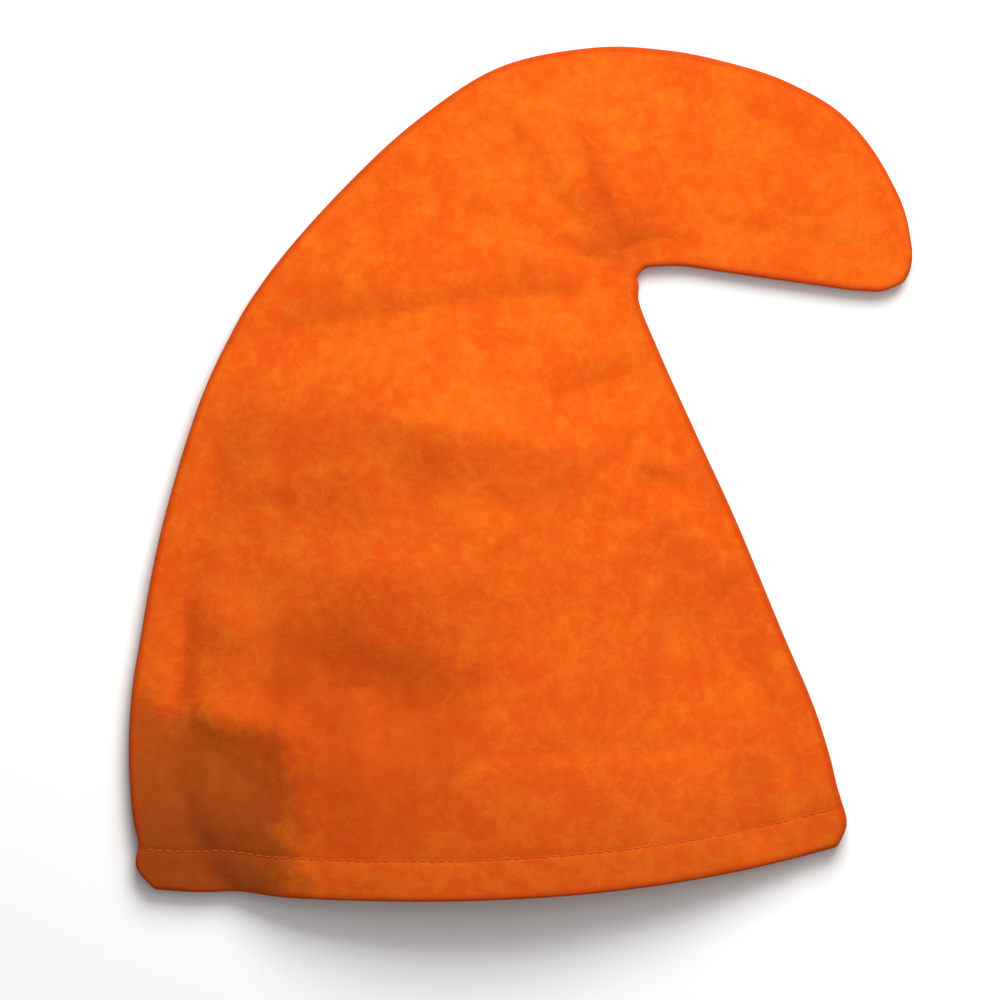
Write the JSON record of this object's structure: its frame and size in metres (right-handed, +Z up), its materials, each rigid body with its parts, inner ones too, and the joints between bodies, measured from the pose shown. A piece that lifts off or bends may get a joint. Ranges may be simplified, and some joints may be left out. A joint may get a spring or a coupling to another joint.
{
  "type": "gnome hat",
  "caption": "Soft felt gnome hat of sewn side panels, with a rounded crown that curls forward into a beak and a turned-up stitched hem, lying on its side.",
  "frame": {"origin": "on the table, under the middle of the hat's bounding box, with the hat lying on its left side", "axes": "+X forward, the way the beak points; +Y up the hat, from the hem to the crown; +Z up from the table, out of the hat's right side"},
  "size_m": [0.3352, 0.3656, 0.0407],
  "materials": {
    "felt": "matt matted-fibre felt, plain orange"
  },
  "bodies": {
    "root": {"right_side_panel": "felt", "left_side_panel": "felt"}
  },
  "joints": []
}
